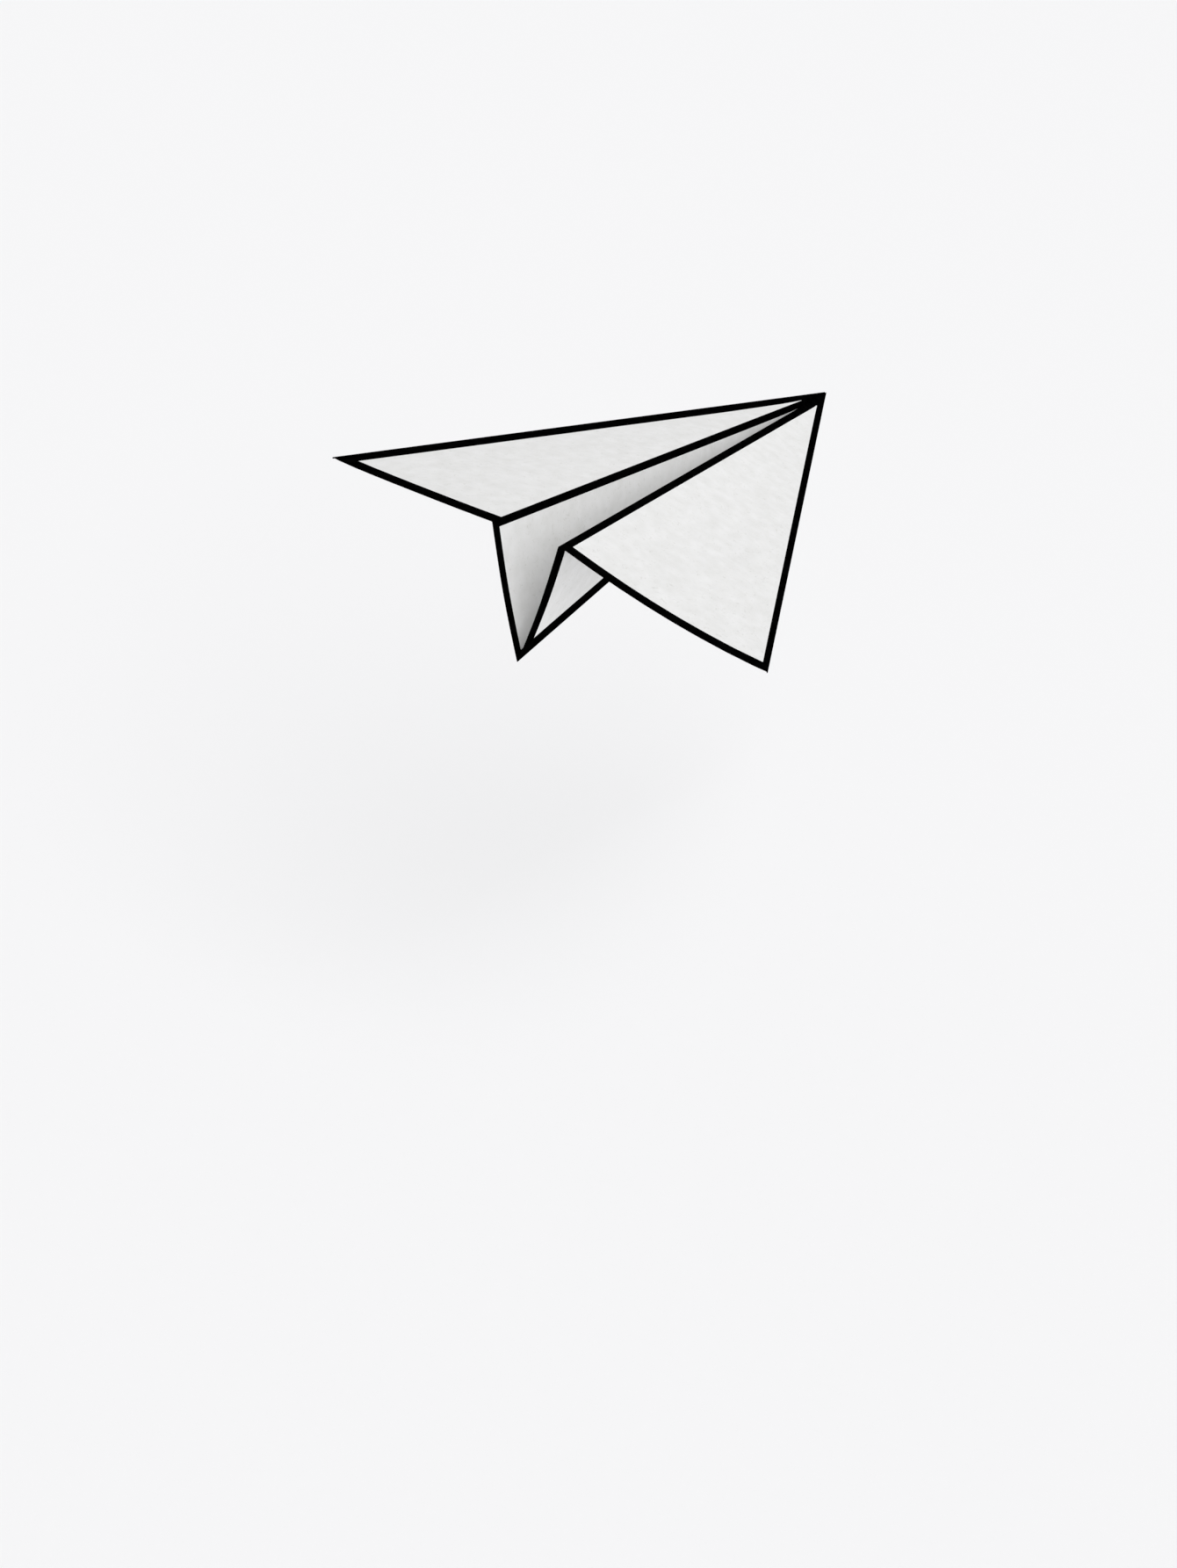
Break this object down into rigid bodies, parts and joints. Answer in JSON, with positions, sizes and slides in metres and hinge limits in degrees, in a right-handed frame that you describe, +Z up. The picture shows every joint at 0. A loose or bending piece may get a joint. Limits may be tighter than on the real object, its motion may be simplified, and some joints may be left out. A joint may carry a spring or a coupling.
{
  "type": "paper airplane",
  "caption": "Classic paper dart folded from one sheet: creased keel, V-shaped body, swept wings that turn at their creases, and corner flaps tucked underneath.",
  "frame": {"origin": "under the middle of the keel, on the line the keel rests on", "axes": "+X forward to the nose along the keel, +Y to the left wing, +Z up, with the V of the body opening upwards"},
  "size_m": [0.2794, 0.1509, 0.0434],
  "materials": {
    "paper": "matt uncoated office paper",
    "inked_fold": "paper inked matt black along the fold"
  },
  "bodies": {
    "left_side": {"keel_crease": "inked_fold", "left_side_panel": "paper", "left_side_inner_tuck": "paper", "left_side_outer_tuck": "paper", "left_side_flap": "paper", "left_corner_fold": "inked_fold", "left_wing_crease": "inked_fold"},
    "right_side": {"right_side_panel": "paper", "right_side_inner_tuck": "paper", "right_side_outer_tuck": "paper", "right_side_flap": "paper", "right_corner_fold": "inked_fold", "right_wing_crease": "inked_fold"},
    "left_wing": {"left_wing_panel": "paper", "left_wing_inner_tuck": "paper", "left_wing_outer_tuck": "paper", "left_wing_flap": "paper", "left_leading_edge": "inked_fold", "left_inner_edge_fold": "inked_fold"},
    "right_wing": {"right_wing_panel": "paper", "right_wing_inner_tuck": "paper", "right_wing_outer_tuck": "paper", "right_wing_flap": "paper", "right_leading_edge": "inked_fold", "right_inner_edge_fold": "inked_fold"}
  },
  "joints": [
    {"name": "keel_fold", "type": "hinge", "parent": "left_side", "child": "right_side", "pos_m": [0, 0, 0.00012], "axis": [1, 0, 0], "range_deg": [-25, 52], "stiffness_Nm_per_rad": 0.02},
    {"name": "left_wing_fold", "type": "hinge", "parent": "left_side", "child": "left_wing", "pos_m": [0.00142, 0.00578, 0.02125], "axis": [-0.9877, 0.0378, 0.1518], "range_deg": [-74, 81]},
    {"name": "right_wing_fold", "type": "hinge", "parent": "right_side", "child": "right_wing", "pos_m": [0.00142, -0.00578, 0.02125], "axis": [0.9877, 0.0378, -0.1518], "range_deg": [-87, 68]}
  ]
}
